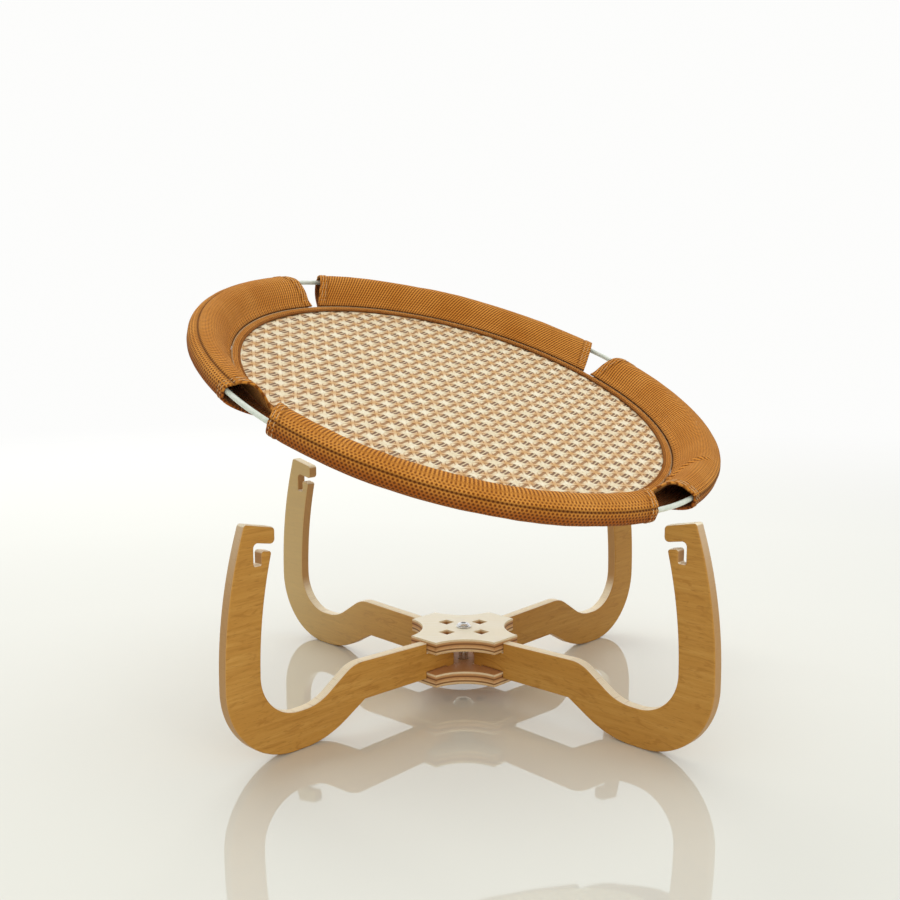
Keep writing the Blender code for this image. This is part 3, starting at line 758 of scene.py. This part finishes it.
def make_clamp(steel):
    head = UPPER_TOP + SEAT + WASHER_T + SEAT
    shank, shank_end = BOLT_D / 2, UPPER_TOP - BOLT_REACH
    key = KEY_D / 2
    rim, cap = HEAD_D / 2, HEAD_H - HEAD_EDGE - HEAD_SPARE
    open_at = math.asin(KEY_FLARE * key / rim)
    dome = [(rim * math.sin(t), head + HEAD_EDGE + cap * math.cos(t))
            for t in (open_at + (math.pi / 2 - open_at) * k / 14 for k in range(15))]
    top = dome[0][1]
    step = THREAD_PITCH / 4
    coil = [(shank, head - k * step) for k in range(1, int((head - shank_end) / step))]
    profile = ([(0, top - KEY_DEPTH), (key, top - KEY_DEPTH), (key, top - KEY_SOFT)] + dome
               + [(rim, head + KEY_SOFT), (rim - 0.2 * MM, head), (shank, head)]
               + coil + [(shank - BOLT_POINT, shank_end), (0, shank_end)])

    def bolt_wave(angle, r, z):
        """The hexagon of the key's hole, and the thread."""
        if r < (KEY_FLARE + 0.01) * key and z > top - KEY_DEPTH - MM:
            return hexed(angle, r) - r
        if abs(r - shank) < 1e-9 and z < head - MM:
            return -THREAD_DEPTH * (0.5 + 0.5 * math.sin(math.tau * z / THREAD_PITCH + angle))
        return 0.0

    add_piece("button_head_bolt", turned_shape(profile, 72, bolt_wave), steel, "stand",
              "clamp_bolt", sharp=28)

    low = HUB_CLEAR - SEAT - WASHER_T - SEAT
    barrel_top = UPPER_BOTTOM - BARREL_DROP
    bore, barrel, nut = BARREL_BORE_D / 2, BARREL_D / 2, NUT_HEAD_D / 2
    bore_end = shank_end - BORE_SPARE
    rows = [(barrel, barrel_top - (k + 1) * BARREL_STEP)
            for k in range(int((barrel_top - BARREL_STEP - low) / BARREL_STEP))]
    nut_low = low - NUT_HEAD_H
    key_end = nut_low + 0.9 * KEY_DEPTH
    profile = ([(0, bore_end), (bore, bore_end), (bore, barrel_top), (barrel - BARREL_STEP, barrel_top)]
               + rows + [(barrel, low), (nut - 0.2 * MM, low), (nut, low - 0.3 * MM),
                         (nut, low - 0.5 * NUT_HEAD_H), (nut - 0.7 * MM, nut_low + 0.2 * MM),
                         (nut - 1.6 * MM, nut_low), (KEY_D * 0.62, nut_low),
                         (NUT_KEY_R, nut_low + 0.2 * MM), (NUT_KEY_R, key_end), (0, key_end)])

    def nut_wave(angle, r, z):
        """The barrel's flutes, and the hexagon of the key's hole."""
        if abs(r - barrel) < 1e-9 and z > barrel_top - FLUTED:
            return -FLUTE_DEPTH * (0.5 + 0.5 * math.cos(FLUTES * angle)) ** 0.7
        if r < KEY_D * 0.63 and z < low:
            return hexed(angle, r) - r
        return 0.0

    grooved = plated_steel("fluted_steel", BARREL_TONE, (barrel - 0.32 * MM, barrel - 0.16 * MM))
    add_piece("fluted_barrel", turned_shape(profile, 144, nut_wave), grooved, "stand",
              "sleeve_nut", sharp=28)

    for name, node, bottom, shaft, across in (
            ("head_washer", "bolt_washer", UPPER_TOP + SEAT, BOLT_D, WASHER_D),
            ("under_washer", "nut_washer", low + SEAT, BARREL_D, NUT_WASHER_D)):
        inner, outer, face = shaft / 2 + SEAT, across / 2, bottom + WASHER_T
        ring = turned_shape([(outer - WASHER_EDGE, face), (outer, face - WASHER_EDGE),
                             (outer, bottom + WASHER_EDGE), (outer - WASHER_EDGE, bottom),
                             (inner, bottom), (inner, face)], 72, closed=True)
        add_piece(name, ring, steel, "stand", node, sharp=50)


def bed_place():
    """Where the bed hangs at rest: the CAD's one hinge carries the seated bed there."""
    seat = STAND + Vector((0, 0, HOOP_Z))
    up = Vector((0, 0, 1))
    facing = Vector((math.sin(LEAN) * math.cos(LEAN_TO), math.sin(LEAN) * math.sin(LEAN_TO), math.cos(LEAN)))
    level = up.cross(facing).normalized()
    middle = (up + facing).normalized()
    tip = math.atan2(-level.dot(LIFT), middle.dot(LIFT))
    axis = (level * math.cos(tip) + middle * math.sin(tip)).normalized()
    angle = 2 * math.asin(math.sin(LEAN / 2) / math.sqrt(1 - axis.z ** 2))
    point = seat + LIFT / 2 + axis.cross(LIFT) / (2 * math.tan(angle / 2))
    return Matrix.Translation(point) @ Matrix.Rotation(angle, 4, axis) @ Matrix.Translation(seat - point)


def make_hoop():
    shape = bmesh.new()
    rings = [[shape.verts.new(polar(HOOP_R + ROD_D / 2 * math.cos(t), turn, ROD_D / 2 * math.sin(t)))
              for t in turns(20)] for turn in turns(360)]
    skin(shape, rings, closed=True)
    add_piece("coated_hoop", mesh_from(shape), coated_rod(), "bed", "hoop")


def sleeve_section():
    """The CAD's section of a sleeve as (radius, height), from the lower sewn edge round to the upper one."""
    out = HOOP_R + ROD_D / 2 + SEAT + CLOTH
    low, high = -SEAM_DROP - CLOTH - SEAT / 2, -SEAM_DROP + CLOTH + SEAT / 2

    def across(share):
        return SEAM_R + share * (out - SEAM_R)

    def up(share):
        return high + share * (CROWN - high)

    return [(SEAM_R, low), (across(0.16), low), (across(0.4), -BELLY), (across(0.66), -0.86 * BELLY),
            (across(0.86), -0.66 * BELLY), (out - ROUND_UNDER, -0.38 * BELLY), (out, -0.4 * ROD_D),
            (out, 0.4 * ROD_D), (across(0.96), 0.5 * CROWN), (across(0.83), up(0.9)),
            (across(0.66), CROWN), (across(0.45), up(0.95)), (across(0.25), up(0.6)),
            (across(0.11), up(0.2)), (SEAM_R, high)]


def bell(value, width):
    return math.exp(-(value / width) ** 2)


def uneven(x, y, z):
    """Smooth seeded noise from -1 to 1."""
    return noise.noise(Vector((x, y, z)))


def smooth_path(points, spacing):
    """A smooth curve through the points, as evenly spaced points."""
    fine = []
    padded = [points[0]] + points + [points[-1]]
    for p0, p1, p2, p3 in zip(padded, padded[1:], padded[2:], padded[3:]):
        for k in range(24):
            t = k / 24
            fine.append(0.5 * ((2 * p1) + (p2 - p0) * t + (2 * p0 - 5 * p1 + 4 * p2 - p3) * t ** 2
                               + (3 * p1 - p0 - 3 * p2 + p3) * t ** 3))
    fine.append(points[-1])
    lengths = [0.0]
    for a, b in zip(fine, fine[1:]):
        lengths.append(lengths[-1] + (b - a).length)
    count = math.ceil(lengths[-1] / spacing)
    path, i = [], 0
    for k in range(count + 1):
        goal = lengths[-1] * k / count
        while i < len(lengths) - 2 and lengths[i + 1] < goal:
            i += 1
        span = lengths[i + 1] - lengths[i]
        path.append(fine[i].lerp(fine[i + 1], (goal - lengths[i]) / span if span else 0.0))
    return path, lengths[-1]


def notch_edge(radius):
    """Angle from a notch's middle to a sleeve's cut edge, at a radius."""
    flare = math.atan2(HOOP_R * math.sin(NOTCH_HALF), HOOP_R * math.cos(NOTCH_HALF) - NOTCH_APEX)
    return flare - math.asin(NOTCH_APEX * math.sin(flare) / radius)


class Sleeve:
    """One sleeve's cloth: gives the place of any point on its outer or inner surface."""

    def __init__(self, name, seed):
        azimuth, groove_z = SLEEVES[name]
        self.azimuth, self.seed = math.radians(azimuth), seed
        self.skew, self.fold = SKEW.get(name, 0.0), FOLDS.get(name)
        self.path, self.length = smooth_path([Vector(p) for p in sleeve_section()], COLUMN)
        self.inward = []
        for i in range(len(self.path)):
            along = (self.path[min(i + 1, len(self.path) - 1)] - self.path[max(i - 1, 0)]).normalized()
            self.inward.append(Vector((-along.y, along.x)))
        self.groove_at = self.distance(next(
            i for i, p in enumerate(self.path) if p.x > HOOP_R - 10 * MM and p.y >= groove_z))

    def distance(self, i):
        return self.length * i / (len(self.path) - 1)

    def reach(self, i):
        return math.pi / 4 - notch_edge(self.path[i].x)

    def angle(self, i, column):
        """Columns are (end, value): a distance from end -1 or 1, or with 0 a share of the part between."""
        end, value = column
        reach, r = self.reach(i), self.path[i].x
        return end * (reach - value / r) if end else value * (reach - END_ZONE / r)

    def relief(self, i, angle):
        """How far both surfaces stand out from the plain section, what the outer one adds, and the painted
        shade of its creases.
        """
        r, z = self.path[i]
        v = self.distance(i)
        u = angle * HOOP_R
        from_end = (self.reach(i) - abs(angle)) * r
        seam = min(v, self.length - v)
        free = min(1.0, seam / SEAM_ZONE)
        both = WRINKLE * free * (uneven(u * 22, v * 45, self.seed * 7.3)
                                 + 0.45 * uneven(u * 70, v * 30, self.seed * 3.1 + 5))
        slack = uneven(v * 60, self.seed, math.copysign(3, angle))
        both += free * END_SLACK * bell(from_end, 14 * MM) * slack
        if self.fold:
            (v_out, a_out), (v_in, a_in) = self.fold
            share = (v - v_out) / (v_in - v_out)
            off = (angle - a_out - (a_in - a_out) * share) * r
            grown = min(1.0, max(0.0, share + 0.3) * 3)
            both += FOLD_RISE * grown * (bell(off, 2.4 * MM) - 0.5 * bell(off + 4 * MM, 3 * MM))
        if r > HOOP_R - 5 * MM and abs(z) < 7 * MM:
            both = abs(both) * 0.5
        wavy = math.sin(math.tau * u / PUCKER_PITCH + 2 * uneven(u * 40, 0, 0))
        both += PUCKER * bell(seam - 3 * MM, 3.5 * MM) * wavy
        off_groove = v - self.groove_at - WANDER * uneven(u * 15, self.seed, 9)
        outer = GROOVE_SWELL * bell(off_groove, 4 * MM) - GROOVE_DEPTH * bell(off_groove, GROOVE_HALF)
        outer += HEM_RISE / (1 + math.exp((from_end - HEM) / HEM_EDGE))
        outer -= GROOVE_SWELL * bell(from_end - HEM - 0.8 * MM, 0.9 * MM)
        # Painted shade in the groove, beside the hem and along the seam.
        crease = max(bell(off_groove, 0.8 * MM), 0.5 * bell(from_end - HEM - 0.7 * MM, 0.8 * MM),
                     0.6 * bell(seam, 1.6 * MM))
        return both, outer, crease

    def point(self, i, angle, depth, lift=0.0):
        """Place at a depth from 0, the outer surface, to 1, the inner one, and the painted shade of its
        creases.
        """
        both, outer, crease = self.relief(i, angle)
        out = both + outer * (1 - depth) - CLOTH * depth + lift
        r, z = self.path[i] - self.inward[i] * out
        return polar(r, self.azimuth + angle, z), crease

    def columns(self):
        near = [0.0, 0.12 * MM, 0.4 * MM] + [0.9 * MM + k * 0.74 * MM for k in range(15)]
        count = math.ceil((2 * self.reach(len(self.path) // 2) * HOOP_R - 2 * END_ZONE) / COLUMN)
        return ([(-1, d) for d in near] + [(0, 2 * k / count - 1) for k in range(count + 1)]
                + [(1, d) for d in reversed(near)])

    def build(self):
        """Mesh of both surfaces, joined by rounded edges at the open ends and along the seam."""
        shape = bmesh.new()
        lay = shape.loops.layers.uv.new("cloth")
        crease_shades = shape.verts.layers.float.new("crease")
        rows = [(i, 0.0) for i in range(len(self.path))] + [(i, 1.0) for i in reversed(range(len(self.path)))]
        rings, flat = [], {}
        for column in self.columns():
            round_in = max(0.0, 1 - column[1] / (CLOTH / 2)) if column[0] else 0.0
            thin = 0.5 * (1 - math.sqrt(1 - round_in ** 2))
            ring = []
            for i, depth in rows:
                angle = self.angle(i, column)
                place, crease = self.point(i, angle, thin if depth == 0 else 1 - thin)
                vert = shape.verts.new(place)
                # Painted shade: creases on the outer surface, and the whole inner surface.
                vert[crease_shades] = crease if depth == 0 else INSIDE_SHADE
                flat[vert] = (angle * HOOP_R + self.skew * self.distance(i), self.distance(i))
                ring.append(vert)
            rings.append(ring)
        skin(shape, rings)
        for end in (rings[0], rings[-1]):
            for k in range(len(rows) // 2 - 1):
                shape.faces.new((end[k], end[k + 1], end[-2 - k], end[-1 - k]))
        for face in shape.faces:
            for loop in face.loops:
                loop[lay].uv = flat[loop.vert]
        return mesh_from(shape)


def stitches(marks, thickness=STITCH_D):
    """Short round-ended threads: each mark is (start, end, up)."""
    shape = bmesh.new()
    for start, end, up in marks:
        along = end - start
        side = along.cross(up).normalized()
        up = side.cross(along).normalized()
        section = [(side * math.cos(t) + up * math.sin(t)) * thickness / 2 for t in turns(6)]
        rings = []
        for share, width, rise in STITCH_FORM:
            middle = start + along * share + up * (thickness / 2 * rise)
            rings.append([shape.verts.new(middle + spoke * width) for spoke in section])
        skin(shape, rings)
        shape.faces.new(rings[0])
        shape.faces.new(rings[-1])
    return mesh_from(shape)


def hem_marks(sleeve):
    """Two rows of stitches along the hem at both ends of a sleeve."""
    marks = []
    step = sleeve.distance(1)
    for column in [(end, distance) for end in (-1, 1) for distance in HEM_ROWS]:
        v = HEM_CLEAR
        while v < sleeve.length - HEM_CLEAR:
            i = int(v / step)
            j = max(int((v + HEM_STITCH) / step), i + 1)
            start, _ = sleeve.point(i, sleeve.angle(i, column), 0.0)
            end, _ = sleeve.point(j, sleeve.angle(j, column), 0.0)
            away, _ = sleeve.point(i, sleeve.angle(i, column), 0.0, MM)
            marks.append((start, end, away - start))
            v += HEM_PITCH
    return marks


def mat_height(radius):
    """Height of the mat's upper face, which sags towards its middle."""
    return -SEAM_DROP - BIND_T / 2 - MAT_SAG * (1 - (radius / MAT_R) ** 2)


def weave_rise(x, y):
    """Height of the weave at a place on the mat, from 0 in a gap to 1 on a star or a strip."""
    c, s = math.cos(WEAVE_TURN), math.sin(WEAVE_TURN)
    a = abs(((x * c + y * s) / STAR_PITCH + 0.5) % 1 - 0.5)
    b = abs(((y * c - x * s) / DASH_PITCH + 0.5) % 1 - 0.5)
    return max(bell(a - b, 0.15), bell(a + b, 0.3))


def make_mat():
    """The sagging woven disc, a closed sheet whose strips stand up from both of its faces."""
    shape = bmesh.new()
    layers = []
    for side, base in ((1, 0.0), (-1, MAT_T)):
        layer = []
        for k in range(WEAVE_RINGS + 1):
            r = MAT_R * k / WEAVE_RINGS
            flat, calm = min(1.0, (MAT_R - r) / (8 * MM)), min(1.0, (MAT_R - r) / (20 * MM))
            ring = []
            for turn in turns(WEAVE_SPOKES if k else 1):
                x, y = r * math.cos(turn), r * math.sin(turn)
                rise = WEAVE_RISE * flat * (weave_rise(x, y) - 1) * side
                z = mat_height(r) - base + MAT_WAVE * uneven(x * 25, y * 25, 2) * calm + rise
                ring.append(shape.verts.new((x, y, z)))
            layer.append(ring)
        skin(shape, layer)
        layers.append(layer)
    skin(shape, [layers[0][-1], layers[1][-1]])
    return add_piece("straw_mat", mesh_from(shape), woven_straw(), "bed", "woven_mat")


def make_binding():
    """The tape over the mat's rim: a soft flat section swept round, with slight puckers."""
    around, sides = 480, 20
    shape = bmesh.new()
    lay = shape.loops.layers.uv.new("cloth")
    rings = []
    for turn in turns(around):
        wavy = 1 + math.sin(150 * turn + 3 * math.sin(7 * turn))
        ring = []
        for t in turns(sides):
            x = math.copysign(abs(math.cos(t)) ** 0.5, math.cos(t))
            z = math.copysign(abs(math.sin(t)) ** 0.6, math.sin(t))
            r = (MAT_R + TAPE_IN) / 2 + BIND_W / 2 * x
            pucker = TAPE_PUCKER * wavy if z > 0.2 else 0.0
            ring.append(shape.verts.new(polar(r, turn, mat_height(r) + SEAT + BIND_T / 2 * (1 + z) - pucker)))
        rings.append(ring)
    for n, face in enumerate(skin(shape, rings, closed=True)):
        a = n // sides
        for loop, i in zip(face.loops, (a, a + 1, a + 1, a)):
            loop[lay].uv = (math.tau * MAT_R * i / around, loop.vert.co.xy.length)
    return add_piece("rim_tape", mesh_from(shape), ribbed_tape(), "bed", "mat_binding")


def ring_marks(radius, above, pitch, length, slant):
    """Stitches round the binding, at a radius and a height above the mat; slant leans each one outwards."""
    marks = []
    for turn in turns(round(math.tau * radius / pitch)):
        out, along = polar(1, turn), polar(1, turn + math.pi / 2)
        middle = polar(radius, turn, mat_height(radius) + SEAT + above)
        half = (along * math.cos(slant) + out * math.sin(slant)) * length / 2
        marks.append((middle - half, middle + half, Vector((0, 0, 1))))
    return marks


def make_bed():
    make_hoop()
    cloth = mesh_cloth(Sleeve("front", 0).length)
    pale, brown = thread("pale_thread", PALE_THREAD), thread("brown_thread", BROWN_THREAD)
    for seed, name in enumerate(SLEEVES, 1):
        sleeve = Sleeve(name, seed)
        piece = add_piece("cloth_" + name, sleeve.build(), cloth, "bed", "sleeve_" + name,
                          sharp=60)
        sewn = add_piece("hem_stitches_" + name, stitches(hem_marks(sleeve)), pale, "bed")
    mat, tape = make_mat(), make_binding()
    marks = ring_marks(OVERLOCK_R, 0.9 * BIND_T, 1.7 * MM, 1.7 * MM, 0.8)
    over = add_piece("overlock", stitches(marks, 0.4 * MM), pale, "bed")
    marks = ring_marks(TAPE_STITCH_R, BIND_T, 2.8 * MM, 2.1 * MM, 0.0)
    sewn = add_piece("tape_stitches", stitches(marks), brown, "bed")


def make_stage():
    """A plain pale glossy floor that fades into a white surround, and soft lamps."""
    tiles = Finish("pale_floor", FLOOR_ROUGHNESS, specular=FLOOR_GLOSS)
    tiles.give("Base Color", linear(*FLOOR_TONE))
    tiles.give("Coat Weight", FLOOR_COAT)
    tiles.give("Coat Roughness", FLOOR_ROUGHNESS)
    white = tiles.node("Emission", (SURROUND, SURROUND_LEVEL)).outputs[0]
    away = tiles.fade(tiles.radius(), *FLOOR_FADE)
    both = tiles.blend(tiles.times(away, tiles.seen_rays()), tiles.shader.outputs[0], white)
    tiles.feed(tiles.tree.nodes["Material Output"].inputs["Surface"], both)
    plane = bpy.data.meshes.new("floor")
    plane.from_pydata([(x * FLOOR_HALF, y * FLOOR_HALF, 0) for x, y in SQUARE], [], [(0, 1, 2, 3)])
    plane.materials.append(tiles.material)
    floor = put("floor", plane)
    floor.location.z = -FLOOR_DROP

    world = bpy.data.worlds.new("studio")
    bpy.context.scene.world = world
    world.use_nodes = True
    world.node_tree.nodes.clear()
    sky = Nodes(world.node_tree)
    light = sky.node("Background", (SKY_TONE, SKY_LEVEL)).outputs[0]
    surround = sky.node("Background", (SURROUND, SURROUND_LEVEL)).outputs[0]
    sky.node("OutputWorld", (sky.blend(sky.seen_rays(), light, surround),))

    for name, place, aim, size, power in LAMPS:
        lamp = bpy.data.lights.new(name, 'AREA')
        lamp.size, lamp.energy, lamp.color = size, power, LAMP_TONE
        holder = put(name, lamp)
        holder.location = place
        holder.rotation_euler = (Vector(aim) - Vector(place)).to_track_quat('-Z', 'Y').to_euler()
        holder.visible_glossy = False


def make_camera():
    lens = bpy.data.cameras.new("photo_camera")
    lens.sensor_width, lens.lens, lens.clip_start = SENSOR, LENS, 0.01
    camera = put("photo_camera", lens)
    camera.location, camera.rotation_euler = CAMERA_PLACE, CAMERA_TURN
    bpy.context.scene.camera = camera


bpy.context.scene.view_settings.view_transform = 'Standard'
make_camera()
make_stage()
make_legs()
make_hub()
make_clamp(plated_steel("bright_steel", HEAD_TONE))
make_bed()
